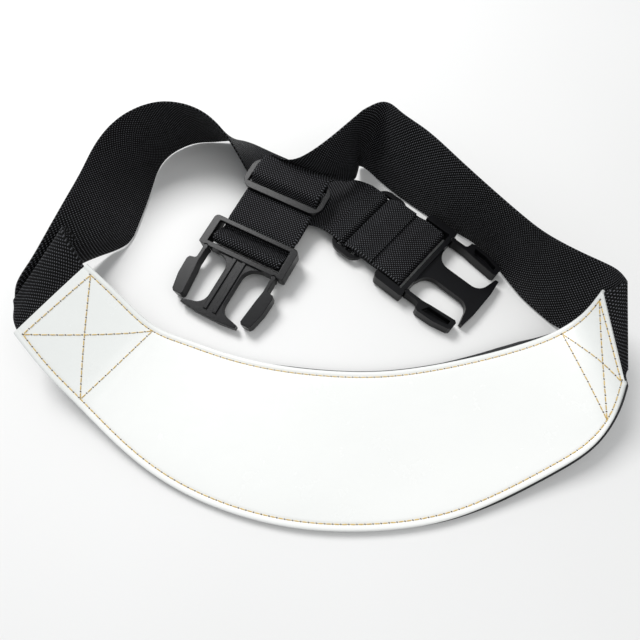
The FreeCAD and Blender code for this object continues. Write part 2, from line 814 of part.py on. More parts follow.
for label, near, far in (("left_box_stitching", 0.2, 2.05), ("right_box_stitching", 11.8, 10.2)):
    corners = {}
    for place, name in ((near, "end"), (far, "inner")):
        for share in (-1, 1):
            middle, normal = surface_point(panel, place * PARTS, share * 0.8)
            corners[name, share] = (middle, normal)
    blocks = []
    for first, second in ((("end", -1), ("end", 1)), (("inner", -1), ("inner", 1)),
                          (("end", -1), ("inner", 1)), (("end", 1), ("inner", -1))):
        blocks += straight_row(corners[first], corners[second], pitch, length, thread_lift + 0.1)
    new_feature(label, Part.makeCompound(blocks))

# ---------------------------------------------------------------- checks and part files
doc.recompute()
lowest = min(node.Shape.BoundBox.ZMin for node in NODES)
whole = Part.makeCompound([node.Shape for node in NODES]).BoundBox
print("box", [round(v, 2) for v in (whole.XMin, whole.XMax, whole.YMin, whole.YMax, whole.ZMin, whole.ZMax)])
for item in doc.Objects:
    if any(word in ("Invalid", "Error") for word in item.State):
        raise RuntimeError(f"{item.Label}: {item.State}")
for node in NODES:
    if node.Shape.isNull() or not node.Shape.isValid():
        raise RuntimeError(f"{node.Label}: bad shape")
    box = node.Shape.BoundBox
    print(node.Label, node.Shape.ShapeType, len(node.Shape.Solids), round(node.Shape.Volume, 1),
          [round(v, 1) for v in (box.XMin, box.XMax, box.YMin, box.YMax, box.ZMin, box.ZMax)])
    node.Shape.exportStep(f"parts/{node.Label}.step")
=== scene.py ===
import math
import random

import bpy
import numpy as np
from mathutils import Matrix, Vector


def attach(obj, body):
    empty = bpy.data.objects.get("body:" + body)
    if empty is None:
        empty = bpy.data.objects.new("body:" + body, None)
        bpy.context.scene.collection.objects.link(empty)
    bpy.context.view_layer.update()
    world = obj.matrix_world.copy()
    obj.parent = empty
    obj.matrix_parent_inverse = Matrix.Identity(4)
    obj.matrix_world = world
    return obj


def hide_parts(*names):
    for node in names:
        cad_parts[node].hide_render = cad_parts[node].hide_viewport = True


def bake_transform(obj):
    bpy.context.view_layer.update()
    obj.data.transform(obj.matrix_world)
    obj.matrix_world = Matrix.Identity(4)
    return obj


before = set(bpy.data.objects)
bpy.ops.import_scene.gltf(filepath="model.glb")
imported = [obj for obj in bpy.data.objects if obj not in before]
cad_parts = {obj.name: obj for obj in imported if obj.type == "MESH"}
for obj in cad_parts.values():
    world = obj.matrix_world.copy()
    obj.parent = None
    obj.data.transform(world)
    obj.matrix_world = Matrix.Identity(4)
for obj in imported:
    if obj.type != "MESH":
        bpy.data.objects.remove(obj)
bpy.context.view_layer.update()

random.seed(7)
MM = 0.001
# Where the frame's origin lies in the layout below, in mm.
FOOTPRINT_CENTRE = np.array([-2.0, 135.4, -0.45])

# ---------------------------------------------------------------- dimensions shared with the CAD, in mm
WEB_WIDTH = 50.0
WEB_THICK = 1.3
GAP = 0.25
FACE_TOP = 1.7
LINING_LOW = -1.5
SLIDER_BOTTOM = 4.95
SLIDER_THICK = 2.8
SLIDER_BAR = 1.4
LOOP_BAR = 2.4
LOOP_BAR_HEIGHT = 5.0
TAIL_END = 20.0
# Levels of the three layers of threaded webbing between slider and plug, at mid-thickness.
LAYER_STEP = WEB_THICK + GAP
TAIL_LEVEL = GAP + WEB_THICK / 2
BACK_LEVEL = TAIL_LEVEL + LAYER_STEP
MAIN_LEVEL = BACK_LEVEL + LAYER_STEP

# ---------------------------------------------------------------- dimensions of the looks, in mm
# Level at which the webbing comes in over the left slider's far bar.
OVER_BAR = 9.3
# The free webbing's rulings stay at least this far above the table.
LOWEST_SELVEDGE = 0.5
# Distances between rulings or points, and the turn between points round a wheel in radians.
PANEL_STEP = 1.3
STRAP_STEP = 1.5
BELT_STEP = 1.5
BELT_TURN = 0.16
# How often a strip's normals are averaged with their neighbours.
SMOOTHING_PASSES = 2
# The free webbing is aimed at a guide this far along its buckle.
GUIDE_REACH = 3.0
# Points at BLEND_LEVEL on the threaded webbing: at the run-in, FOLLOWS_BEFORE ahead of the slider's bar,
# FOLLOWS_AFTER past it and STILL_AFTER past it; the script works them out but does not use them.
BLEND_LEVEL = 4
FOLLOWS_BEFORE = 5
FOLLOWS_AFTER = 8
STILL_AFTER = 26
# Edges sharper than this many degrees are shaded as edges.
WEBBING_SHARP = 40
PANEL_SHARP = 60
PLASTIC_SHARP = 35
# Underside of the vinyl, and upper side and bulging edge of the lining.
VINYL_LOW = -0.72
LINING_TOP = -0.80
LINING_MIDDLE = -1.15
LINING_BULGE = 0.15
# Relief of the padded face: padding, rolled edge, the seam's groove, and soft waves between the seams.
SEAM_INSET = 3.5
PILLOW_HEIGHT = 0.75
PILLOW_REACH = 7.0
PRESSED_BY_STRAP = 0.7
ROLL_HEIGHT = 0.30
ROLL_INSET = 1.6
ROLL_WIDTH = 1.3
GROOVE_DEPTH = 0.34
GROOVE_CHANGE = 0.10
GROOVE_WIDTH = 0.8
WAVE_HEIGHT = 0.28
WAVE_GROWTH = 12.0
# The waves' mm per radian.
SHORT_WAVE_ALONG = 17.0
SHORT_WAVE_ACROSS = 21.0
LONG_WAVE_ALONG = 49.0
LONG_WAVE_ACROSS = 33.0
# Thread ends and the needle holes between them; the holes are dark beads that paint the shade inside them.
STITCH_PITCH = 4.2
STITCH_LENGTH = 3.1
THREAD_RADIUS = 0.30
THREAD_RISE = 0.10
THREAD_WAVER = 0.06
HOLE_HALF = 0.48
HOLE_RADIUS = 0.40
HOLE_SINK = 0.05

# ---------------------------------------------------------------- the weave, in metres
# Periods of the weave, how far it strays, the webbing's middle, and where its selvedges start from there.
WEAVE_ALONG = 0.0021
WEAVE_ACROSS = 0.0020
WEAVE_DRIFT = 0.0010
WEAVE_MIDDLE = 0.025
SELVEDGE_FROM = 0.0238

# Rulings of the panel: a point of its outer edge and one of its inner edge, left end to right end.
PANEL_RULINGS = [
    ((-169, 101, 31), (-137, 145, 31)),
    ((-153, 82, 20), (-118, 129, 20)),
    ((-136, 66, 12), (-101, 115, 12)),
    ((-111, 44, 6), (-81, 107, 7)),
    ((-83, 25, 3), (-60, 100, 5)),
    ((-36, 7, 2), (-24, 91, 5)),
    ((10, 1, 2), (18, 87, 5)),
    ((55, 4, 2), (54, 89, 5)),
    ((97, 17, 4), (96, 97, 6)),
    ((127, 31, 8), (120, 103, 9)),
    ((150, 46, 14), (143, 111, 15)),
    ((160, 60, 20), (154, 118, 25)),
    ((163.5, 73, 28), (159, 125, 37)),
]
# The left strap beyond the panel: rise, fold and run. A ruling's first point is on the selvedge that is the
# upper one in the run, and its second on the lower one.
LEFT_RISE = [
    ((-170, 110, 34), (-143, 151, 40)),
    ((-171, 116, 34), (-147, 158, 45)),
]
LEFT_FOLD = [
    ((-171.5, 118.5, 34.5), (-148, 161.5, 45)),
    ((-172, 119.5, 34), (-149, 164.5, 41)),
    ((-172, 120, 33.5), (-150, 165.5, 26)),
    ((-172, 120, 33), (-151.5, 164, 6)),
]
LEFT_RUN = [
    ((-172, 120, 33), (-151.5, 164, 6)),
    ((-171, 129.5, 37), (-141.5, 171.5, 1.4)),
    ((-166.3, 141, 39), (-134.5, 175.5, 0.7)),
    ((-161, 157, 40.5), (-129.5, 180, 0.4)),
    ((-152.5, 185, 42.5), (-125, 196, 0.2)),
    ((-146, 207, 44), (-121, 221, 0.2)),
    ((-140, 226, 46), (-119, 238, 0.2)),
    ((-128, 244, 48), (-115, 251, 0.2)),
    ((-112, 254, 49), (-107, 261, 0.2)),
    ((-97, 256, 49), (-95, 268, 0.2)),
    ((-76, 250, 46), (-79, 270, 0.2)),
    ((-60, 238, 34), (-60, 269, 2)),
    ((-50, 230, 11), (-40, 261, 1)),
    ((-34, 208, 4), (-14, 247, 1)),
    ((-15, 194, 4), (13, 235, 2)),
]
# The right strap beyond the panel, in the same way: rise to its fold, run to the back peak, and drop to the
# left buckle.
RIGHT_RISE = [
    ((163.5, 124, 42), (163.4, 77, 29.5)),
    ((167, 126, 46), (164, 79.5, 31)),
]
RIGHT_RUN = [
    ((167, 126, 46), (164, 79.5, 31)),
    ((165.5, 130.5, 45.8), (161.5, 91, 20)),
    ((159.5, 135.6, 46.5), (153.5, 108.5, 8)),
    ((150, 140.8, 47), (146, 119, 0.8)),
    ((133, 150, 49), (128, 141, 0.2)),
    ((118, 163, 50), (109, 174, 0.6)),
    ((103, 182, 50), (95, 187, 0.3)),
    ((82, 212, 49), (74, 203, 0.2)),
    ((66, 233, 49), (57, 218, 0.2)),
    ((51, 250, 48), (43, 233, 0.2)),
    ((39, 258, 47), (32, 245, 0.2)),
    ((28, 252, 46), (28, 245, 2)),
]
RIGHT_DROP = [
    ((28, 252, 46), (28, 245, 2)),
    ((18, 241, 46), (27, 238.5, 4)),
    ((6, 231, 43), (26, 233, 6)),
    ((-8, 226, 35), (24, 226, 10)),
    ((-22, 229, 26), (18, 218, 17)),
]
# Lie of each buckle: place of the plug's loop bar, heading and dip of its tip in degrees, whether it is
# upside down, distance from the loop bar to the slider, and length of the webbing's run-in to the slider.
BUCKLES = {
    "left": {"place": (-46.3, 168.2, 4.6), "heading": -118.0, "dip": 6.5, "upside_down": False,
             "slider": 52.5, "run_in": 13.0},
    "right": {"place": (63.7, 164.9, 9.75), "heading": -41.5, "dip": 2.0, "upside_down": True,
              "slider": 40.0, "run_in": 16.0},
}


def laid(points):
    """Points of the layout in mm, measured from the origin."""
    return np.asarray(points, float) - FOOTPRINT_CENTRE


def unit(vectors):
    """Vectors of length one."""
    vectors = np.asarray(vectors, float)
    return vectors / np.maximum(np.linalg.norm(vectors, axis=-1, keepdims=True), 1e-9)


class Buckle:
    """Frame of one buckle: along the webbing, across it, and out of its upper side."""

    def __init__(self, place, heading, dip, upside_down, slider, run_in):
        turn, drop = math.radians(heading), math.radians(dip)
        level = math.cos(drop)
        self.along = np.array([math.cos(turn) * level, math.sin(turn) * level, -math.sin(drop)])
        self.across = np.array([-math.sin(turn), math.cos(turn), 0.0]) * (-1 if upside_down else 1)
        self.out = np.cross(self.along, self.across)
        self.base = laid(place)
        self.slider = slider
        self.run_in = run_in

    def point(self, along, across, out):
        """A point of the frame in mm from the origin."""
        return self.base + self.along * along + self.across * across + self.out * out

    def metres(self, along, across, out):
        """The same point in metres."""
        return tuple(self.point(along, across, out) * MM)


BUCKLE = {side: Buckle(**facts) for side, facts in BUCKLES.items()}


# ---------------------------------------------------------------- curves
def run_along(points):
    """Distance of each point from the first one, along the line through them."""
    return np.concatenate([[0], np.cumsum(np.linalg.norm(np.diff(points, axis=0), axis=1))])


def natural_spline(knots, points, at):
    """Smooth cubic through points at the given places."""
    knots = np.asarray(knots, float)
    points = np.asarray(points, float)
    count = len(knots)
    gaps = np.diff(knots)
    matrix = np.zeros((count, count))
    targets = np.zeros((count, points.shape[1]))
    matrix[0, 0] = matrix[-1, -1] = 1
    for i in range(1, count - 1):
        matrix[i, i - 1:i + 2] = gaps[i - 1], 2 * (gaps[i - 1] + gaps[i]), gaps[i]
        slope_after = (points[i + 1] - points[i]) / gaps[i]
        slope_before = (points[i] - points[i - 1]) / gaps[i - 1]
        targets[i] = 6 * (slope_after - slope_before)
    bends = np.linalg.solve(matrix, targets)
    span = np.clip(np.searchsorted(knots, at) - 1, 0, count - 2)
    left = ((knots[span + 1] - at) / gaps[span])[:, None]
    right = 1 - left
    step = (gaps[span] ** 2)[:, None] / 6
    curved = (left ** 3 - left) * bends[span] + (right ** 3 - right) * bends[span + 1]
    return left * points[span] + right * points[span + 1] + curved * step


def smooth_rulings(rulings, step, spare=0):
    """Both ends and the normal of dense rulings along a strip, about step mm apart.

    The spare last rulings guide the curve, and the strip stops before them.
    """
    pairs = np.asarray(rulings, float)
    knots = run_along(pairs.mean(axis=1))
    last = knots[len(knots) - 1 - spare]
    count = max(4, int(last / step) + 1)
    at = np.linspace(0, last, count)
    a = natural_spline(knots, pairs[:, 0], at)
    b = natural_spline(knots, pairs[:, 1], at)
    return a, b, ruling_normals(a, b)


def ruling_normals(a, b):
    """Unit normals of a strip at each ruling, on one side of it all the way and slightly smoothed."""
    along = np.gradient((a + b) / 2, axis=0)
    normals = unit(np.cross(along, b - a))
    for i in range(1, len(normals)):
        if normals[i] @ normals[i - 1] < 0:
            normals[i] = -normals[i]
    for _ in range(SMOOTHING_PASSES):
        normals[1:-1] = (normals[:-2] + 2 * normals[1:-1] + normals[2:]) / 4
    return unit(normals)


def ramp_up(values, start, length):
    """0 up to the start, then rising to 1 over the length."""
    return np.clip((values - start) / length, 0, 1)


# ---------------------------------------------------------------- meshes
def mesh_object(name, verts, faces, sharp=WEBBING_SHARP):
    """Smooth-shaded mesh from points in mm."""
    mesh = bpy.data.meshes.new(name)
    mesh.from_pydata([tuple(v) for v in np.asarray(verts) * MM], [], faces)
    mesh.validate()
    mesh.polygons.foreach_set("use_smooth", [True] * len(mesh.polygons))
    mesh.set_sharp_from_angle(angle=math.radians(sharp))
    mesh.update()
    obj = bpy.data.objects.new(name, mesh)
    bpy.context.scene.collection.objects.link(obj)
    return obj


def swept(name, a, b, n, outline, start_along=0.0, closed_ends=(True, True), tab=None,
          sharp=WEBBING_SHARP):
    """Closed strip: the outline (share across, extra mm, height mm) carried along the rulings.

    The outline's numbers may be arrays with one value per ruling. UVs are metres along and across.
    It returns the object and the length along it at its far end.
    """
    rows, columns = len(a), len(outline)
    width = np.linalg.norm(b - a, axis=1)
    across = unit(b - a)
    verts = np.zeros((rows, columns, 3))
    side = np.zeros((rows, columns))
    for j, (share, extra, height) in enumerate(outline):
        reach = share * width + extra
        verts[:, j] = a + across * np.broadcast_to(reach, (rows,))[:, None]
        verts[:, j] += n * np.broadcast_to(height, (rows,))[:, None]
        side[:, j] = share * WEB_WIDTH + extra
    run = start_along + run_along((a + b) / 2)
    faces = []
    for i in range(rows - 1):
        for j in range(columns):
            k = (j + 1) % columns
            faces.append((i * columns + j, i * columns + k, (i + 1) * columns + k, (i + 1) * columns + j))
    if closed_ends[0]:
        faces.append(tuple(range(columns - 1, -1, -1)))
    if closed_ends[1]:
        faces.append(tuple((rows - 1) * columns + j for j in range(columns)))
    obj = mesh_object(name, verts.reshape(-1, 3), faces, sharp)
    mesh = obj.data
    uv = mesh.uv_layers.new(name="weave")
    index = np.zeros(len(mesh.loops), int)
    mesh.loops.foreach_get("vertex_index", index)
    flat = np.stack([np.repeat(run, columns), side.reshape(-1)], axis=1) * MM
    uv.data.foreach_set("uv", flat[index].astype(np.float32).reshape(-1))
    if tab is not None:
        layer = mesh.attributes.new("tab", "FLOAT", "POINT")
        layer.data.foreach_set("value", np.repeat(tab, columns).astype(np.float32))
    return obj, run[-1]


def webbing_outline():
    """Section of the webbing: flat faces with full rounded selvedges."""
    columns = 22
    flat_from, flat_to = 0.012, 0.988
    half = WEB_THICK / 2
    shoulder = half * 0.75
    rounding = 0.18
    top = [(share, 0.0, half) for share in np.linspace(flat_from, flat_to, columns)]
    bottom = [(share, 0.0, -half) for share in np.linspace(flat_to, flat_from, columns)]
    right = [(1.0, -rounding, shoulder), (1.0, 0.0, 0.0), (1.0, -rounding, -shoulder)]
    left = [(0.0, rounding, -shoulder), (0.0, 0.0, 0.0), (0.0, rounding, shoulder)]
    return top + right + bottom + left


# ---------------------------------------------------------------- materials
def shader(name):
    """New material with its node tree and Principled shader."""
    material = bpy.data.materials.new(name)
    material.use_nodes = True
    tree = material.node_tree
    return material, tree, tree.nodes["Principled BSDF"]


def math_node(tree, operation, *inputs, clamp=False):
    """A math node fed by sockets or numbers."""
    node = tree.nodes.new("ShaderNodeMath")
    node.operation = operation
    node.use_clamp = clamp
    for socket, value in zip(node.inputs, inputs):
        if isinstance(value, (int, float)):
            socket.default_value = value
        else:
            tree.links.new(value, socket)
    return node.outputs[0]


def weighted(tree, value, weight, added, clamp=False):
    """The value times its weight, plus another value."""
    return math_node(tree, "MULTIPLY_ADD", value, weight, added, clamp=clamp)


def waves(tree, distance, period):
    """Sine waves along a distance."""
    return math_node(tree, "SINE", math_node(tree, "MULTIPLY", distance, 2 * math.pi / period))


def noise(tree, scale, detail=3.0, rough=0.55):
    """Noise over object space."""
    node = tree.nodes.new("ShaderNodeTexNoise")
    node.inputs["Scale"].default_value = scale
    node.inputs["Detail"].default_value = detail
    node.inputs["Roughness"].default_value = rough
    place = tree.nodes.new("ShaderNodeTexCoord").outputs["Object"]
    tree.links.new(place, node.inputs["Vector"])
    return node.outputs["Fac"]


def ramp(tree, fac, *stops):
    """Colour ramp through (place, colour) stops."""
    node = tree.nodes.new("ShaderNodeValToRGB")
    elements = node.color_ramp.elements
    while len(elements) < len(stops):
        elements.new(0.5)
    for element, (place, colour) in zip(elements, stops):
        element.position = place
        element.color = (*colour, 1.0)
    tree.links.new(fac, node.inputs["Fac"])
    return node.outputs["Color"]


def bump(tree, height, distance, strength=1.0, normal=None):
    """Bump from a height, distance in metres."""
    node = tree.nodes.new("ShaderNodeBump")
    node.inputs["Strength"].default_value = strength
    node.inputs["Distance"].default_value = distance
    tree.links.new(height, node.inputs["Height"])
    if normal is not None:
        tree.links.new(normal, node.inputs["Normal"])
    return node.outputs["Normal"]


def weave_height(tree):
    """Height of the weave from 0 to 1: staggered knuckles of yarn, and ribs along the selvedges."""
    uv = tree.nodes.new("ShaderNodeUVMap")
    uv.uv_map = "weave"
    split = tree.nodes.new("ShaderNodeSeparateXYZ")
    tree.links.new(uv.outputs["UV"], split.inputs[0])
    along, side = split.outputs[0], split.outputs[1]
    wander = math_node(tree, "SUBTRACT", noise(tree, scale=90.0, detail=2.0), 0.5)
    along = math_node(tree, "ADD", along, math_node(tree, "MULTIPLY", wander, WEAVE_DRIFT))
    waves_along = waves(tree, along, WEAVE_ALONG)
    knuckle = math_node(tree, "MULTIPLY", waves_along, waves(tree, side, WEAVE_ACROSS))
    hollow_floor = -0.25
    knuckle = math_node(tree, "MAXIMUM", knuckle, hollow_floor)
    knuckle = weighted(tree, knuckle, weight=0.8, added=0.2)
    rib = weighted(tree, waves_along, weight=0.33, added=0.38)
    from_middle = math_node(tree, "ABSOLUTE", math_node(tree, "SUBTRACT", side, WEAVE_MIDDLE))
    mix = tree.nodes.new("ShaderNodeMix")
    tree.links.new(math_node(tree, "GREATER_THAN", from_middle, SELVEDGE_FROM), mix.inputs[0])
    tree.links.new(knuckle, mix.inputs[2])
    tree.links.new(rib, mix.inputs[3])
    return mix.outputs[0]


def webbing_material():
    """Black nylon webbing: its knuckles are glossier than the hollows between them, and painted lighter and
    bluish as a painted sheen.
    """
    material, tree, base = shader("webbing_black")
    height = weave_height(tree)
    fibre = noise(tree, scale=2600.0, detail=2.0)
    dust = noise(tree, scale=45.0, detail=4.0)
    tone = weighted(tree, fibre, weight=0.30, added=height)
    tone = weighted(tree, dust, weight=0.20, added=tone)
    # The light bluish top stops of this ramp are a painted sheen on the knuckle tops and selvedge ribs; the
    # near-black below them is the yarn's own colour.
    colour = ramp(tree, tone, (0.20, (0.0008, 0.0008, 0.0009)), (0.74, (0.0030, 0.0029, 0.0031)),
                  (0.90, (0.024, 0.025, 0.028)), (1.0, (0.120, 0.123, 0.135)))
    tree.links.new(colour, base.inputs["Base Color"])
    rough = weighted(tree, fibre, weight=0.20, added=0.62)
    rough = weighted(tree, height, weight=-0.34, added=rough, clamp=True)
    tree.links.new(rough, base.inputs["Roughness"])
    base.inputs["Specular IOR Level"].default_value = 0.13
    fuzz = bump(tree, fibre, distance=0.00006)
    tree.links.new(bump(tree, height, distance=0.00060, normal=fuzz), base.inputs["Normal"])
    return material


def vinyl_material():
    """White coated vinyl, a little greyer over the sewn tabs, with faint grain and scuffs."""
    material, tree, base = shader("vinyl_white")
    tab = tree.nodes.new("ShaderNodeAttribute")
    tab.attribute_name = "tab"
    cloud = noise(tree, scale=14.0, detail=4.0)
    tone = weighted(tree, cloud, weight=0.25, added=0.0)
    tone = weighted(tree, tab.outputs["Fac"], weight=0.55, added=tone)
    colour = ramp(tree, tone, (0.0, (0.88, 0.885, 0.865)), (0.3, (0.84, 0.85, 0.83)),
                  (1.0, (0.79, 0.81, 0.79)))
    tree.links.new(colour, base.inputs["Base Color"])
    scuff = noise(tree, scale=60.0, detail=5.0, rough=0.7)
    tree.links.new(weighted(tree, scuff, weight=0.22, added=0.14), base.inputs["Roughness"])
    base.inputs["Coat Weight"].default_value = 0.25
    base.inputs["Coat Roughness"].default_value = 0.12
    grain = noise(tree, scale=1500.0, detail=2.0)
    ripple = noise(tree, scale=70.0, detail=2.0)
    fine = bump(tree, grain, distance=0.00003)
    coarse = bump(tree, ripple, distance=0.00035, strength=0.6, normal=fine)
    tree.links.new(coarse, base.inputs["Normal"])
    return material


def lining_material():
    """Black woven lining cloth."""
    material, tree, base = shader("lining_black")
    weave = noise(tree, scale=900.0)
    colour = ramp(tree, weave, (0.3, (0.010, 0.010, 0.011)), (0.8, (0.03, 0.03, 0.032)))
    tree.links.new(colour, base.inputs["Base Color"])
    base.inputs["Roughness"].default_value = 0.75
    tree.links.new(bump(tree, weave, distance=0.0001), base.inputs["Normal"])
    return material


def thread_material(name, dark, light):
    """Sewing thread with a fine twist."""
    material, tree, base = shader(name)
    twist = noise(tree, scale=1800.0, detail=2.0)
    tree.links.new(ramp(tree, twist, (0.3, dark), (0.7, light)), base.inputs["Base Color"])
    base.inputs["Roughness"].default_value = 0.5
    tree.links.new(bump(tree, twist, distance=0.00004), base.inputs["Normal"])
    return material


def plastic_material():
    """Black moulded acetal: satin, faint mould grain, softened edges."""
    material, tree, base = shader("plastic_black")
    edge = tree.nodes.new("ShaderNodeBevel")
    edge.samples = 6
    edge.inputs["Radius"].default_value = 0.0006
    grain = noise(tree, scale=1100.0)
    cloud = noise(tree, scale=55.0)
    colour = ramp(tree, cloud, (0.3, (0.0035, 0.0035, 0.0041)), (0.75, (0.0065, 0.0065, 0.0074)))
    tree.links.new(colour, base.inputs["Base Color"])
    tree.links.new(weighted(tree, grain, weight=0.12, added=0.24), base.inputs["Roughness"])
    base.inputs["Specular IOR Level"].default_value = 0.18
    pitted = bump(tree, grain, distance=0.00004, normal=edge.outputs["Normal"])
    tree.links.new(pitted, base.inputs["Normal"])
    return material


WEBBING = webbing_material()
VINYL = vinyl_material()
LINING = lining_material()
THREAD = thread_material("thread_gold", (0.46, 0.29, 0.06), (0.80, 0.58, 0.20))
# The needle holes get darkened thread colours as painted shade.
HOLE_SHADE = thread_material("needle_hole_shade", (0.07, 0.045, 0.02), (0.16, 0.10, 0.05))
PLASTIC = plastic_material()


def finish_piece(obj, body, slot, *materials):
    """Give a piece its materials and, if it is given a body, that body; the slot is not used."""
    for material in materials:
        obj.data.materials.append(material)
    if body is not None:
        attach(obj, body)


# ---------------------------------------------------------------- panel
ROOT = "panel_and_straps"
panel_a, panel_b, panel_n = smooth_rulings([laid(pair) for pair in PANEL_RULINGS], PANEL_STEP)
panel_middle = (panel_a + panel_b) / 2
panel_run = run_along(panel_middle)
panel_width = np.linalg.norm(panel_b - panel_a, axis=1)
PANEL_ROWS = len(panel_a)


def station_row(place):
    """Row of the dense panel at a place counted in rulings."""
    knots = run_along(np.asarray(PANEL_RULINGS, float).mean(axis=1))
    return np.interp(place, range(len(knots)), knots) / knots[-1] * (PANEL_ROWS - 1)


# Rows of each sewn box's corners: end outer, end inner, far outer, far inner.
BOXES = {
    "left": [station_row(place) for place in (0.15, 0.22, 2.0, 2.15)],
    "right": [station_row(place) for place in (11.85, 11.78, 10.5, 9.95)],
}


def tab_shares():
    """1 at the rows over a sewn-in strap and 0 between, blurred over a few rows."""
    shares = np.zeros(PANEL_ROWS)
    shares[:int(BOXES["left"][3])] = 1.0
    shares[int(BOXES["right"][2]):] = 1.0
    blur = 4
    window = 2 * blur + 1
    return np.convolve(np.pad(shares, blur, mode="edge"), np.ones(window) / window, mode="valid")


panel_tab = tab_shares()


def swell(x):
    """Height of the padded face over its flat level, x mm from the outer edge at every row."""
    near = np.minimum(x, panel_width - x)
    pillow = PILLOW_HEIGHT * (1 - np.exp(-np.maximum(near - SEAM_INSET, 0) / PILLOW_REACH))
    pillow = pillow * (1 - PRESSED_BY_STRAP * panel_tab)
    roll = ROLL_HEIGHT * np.exp(-((near - ROLL_INSET) / ROLL_WIDTH) ** 2)
    pull = GROOVE_DEPTH + GROOVE_CHANGE * np.sin(panel_run * 2 * math.pi / STITCH_PITCH)
    groove = -pull * np.exp(-((near - SEAM_INSET) / GROOVE_WIDTH) ** 2)
    short_wave = np.sin(panel_run / SHORT_WAVE_ALONG + x / SHORT_WAVE_ACROSS)
    long_wave = np.sin(x / LONG_WAVE_ACROSS + panel_run / LONG_WAVE_ALONG)
    wave = WAVE_HEIGHT * short_wave * long_wave
    return pillow + roll + groove + wave * ramp_up(near, start=SEAM_INSET, length=WAVE_GROWTH)


def face_point(row, x):
    """Point on the padded face at a row, x mm from the outer edge, and the normal there."""
    low = min(int(row), PANEL_ROWS - 2)
    ends = []
    for k in (low, low + 1):
        across = unit(panel_b[k] - panel_a[k])
        height = FACE_TOP + swell(np.full(PANEL_ROWS, x))[k]
        ends.append(panel_a[k] + across * x + panel_n[k] * height)
    share = row - low
    point = ends[0] * (1 - share) + ends[1] * share
    return point, unit(panel_n[low] * (1 - share) + panel_n[low + 1] * share)


def face_outline():
    """Section of the vinyl: fine columns near each edge, even ones between, and edges turned under."""
    near_edge = [0.9, 1.6, 2.2, 2.7, 3.1, 3.5, 3.9, 4.3, 4.9, 5.8, 7.2, 9.5, 13.0]
    between = np.linspace(0.0, 1.0, 26)[1:-1]
    turned_edge = [(0.3, FACE_TOP - 0.1), (0.0, FACE_TOP - 0.9), (0.1, -0.5), (0.6, VINYL_LOW)]
    outline = [(0.0, x, FACE_TOP + swell(np.full(PANEL_ROWS, x))) for x in near_edge]
    for share in between:
        x = near_edge[-1] + share * (panel_width - 2 * near_edge[-1])
        outline.append((0.0, x, FACE_TOP + swell(x)))
    outline += [(1.0, -x, FACE_TOP + swell(panel_width - x)) for x in reversed(near_edge)]
    outline += [(1.0, -inward, height) for inward, height in turned_edge]
    outline.append((0.5, 0.0, VINYL_LOW))
    outline += [(0.0, inward, height) for inward, height in reversed(turned_edge)]
    return outline


def lining_outline():
    """Section of the lining: it shows at the right of the outer edge and along much of the inner edge."""
    x = panel_middle[:, 0]
    # How far it reaches beyond each edge of the vinyl, in mm; where it is tucked it ends short of the edge.
    tucked_outer, tucked_inner = 0.4, 0.3
    shown_outer, shown_inner, more_at_right = 1.5, 1.1, 1.5
    outer = shown_outer * ramp_up(x, start=40, length=60) - tucked_outer
    inner = shown_inner * ramp_up(x, start=-60, length=40) + more_at_right * ramp_up(x, start=75, length=35)
    inner = inner * ramp_up(-x, start=-150, length=25) - tucked_inner
    between = [0.25, 0.5, 0.75]
    outline = [(0.0, -outer, LINING_TOP)]
    outline += [(share, 0.0, LINING_TOP) for share in between]
    outline += [(1.0, inner, LINING_TOP), (1.0, inner + LINING_BULGE, LINING_MIDDLE)]
    outline.append((1.0, inner, LINING_LOW))
    outline += [(share, 0.0, LINING_LOW) for share in reversed(between)]
    outline += [(0.0, -outer, LINING_LOW), (0.0, -outer - LINING_BULGE, LINING_MIDDLE)]
    return outline


panel, panel_length = swept("panel_vinyl", panel_a, panel_b, panel_n, face_outline(), tab=panel_tab,
                            sharp=PANEL_SHARP)
finish_piece(panel, ROOT, "vinyl_face", VINYL)
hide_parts("panel_face", "panel_core")

lining, _ = swept("panel_lining_cloth", panel_a, panel_b, panel_n, lining_outline(), sharp=PANEL_SHARP)
finish_piece(lining, ROOT, "vinyl_lining", LINING)
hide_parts("panel_lining")


# ---------------------------------------------------------------- stitching
class Beads:
    """Mesh of many small beads: ends of thread, kind 0, and needle holes painted dark as their shade, kind
    1.
    """

    RINGS = 6
    SIDES = 8
    BLUNTNESS = 0.6
    TIP = 0.08

    def __init__(self):
        self.verts = []
        self.faces = []
        self.kinds = []

    def add(self, centre, along, out, half, thick, kind):
        """A bead half mm long each way along, thick mm in radius."""
        cross = np.cross(out, along)
        first = len(self.verts)
        for i in range(self.RINGS + 1):
            angle = math.pi * i / self.RINGS
            reach = math.sin(angle) ** self.BLUNTNESS if 0 < i < self.RINGS else self.TIP
            for j in range(self.SIDES):
                turn = 2 * math.pi * j / self.SIDES
                spoke = (cross * math.cos(turn) + out * math.sin(turn)) * thick * reach
                self.verts.append(centre + along * (-math.cos(angle) * half) + spoke)
        for i in range(self.RINGS):
            low, high = first + i * self.SIDES, first + (i + 1) * self.SIDES
            for j in range(self.SIDES):
                k = (j + 1) % self.SIDES
                self.faces.append((low + j, low + k, high + k, high + j))
        self.faces.append(tuple(first + j for j in reversed(range(self.SIDES))))
        self.faces.append(tuple(first + self.RINGS * self.SIDES + j for j in range(self.SIDES)))
        self.kinds += [kind] * (self.RINGS * self.SIDES + 2)


def at_distance(distance, run, values):
    """Values of a line at a distance along it."""
    return np.array([np.interp(distance, run, values[:, k]) for k in range(3)])


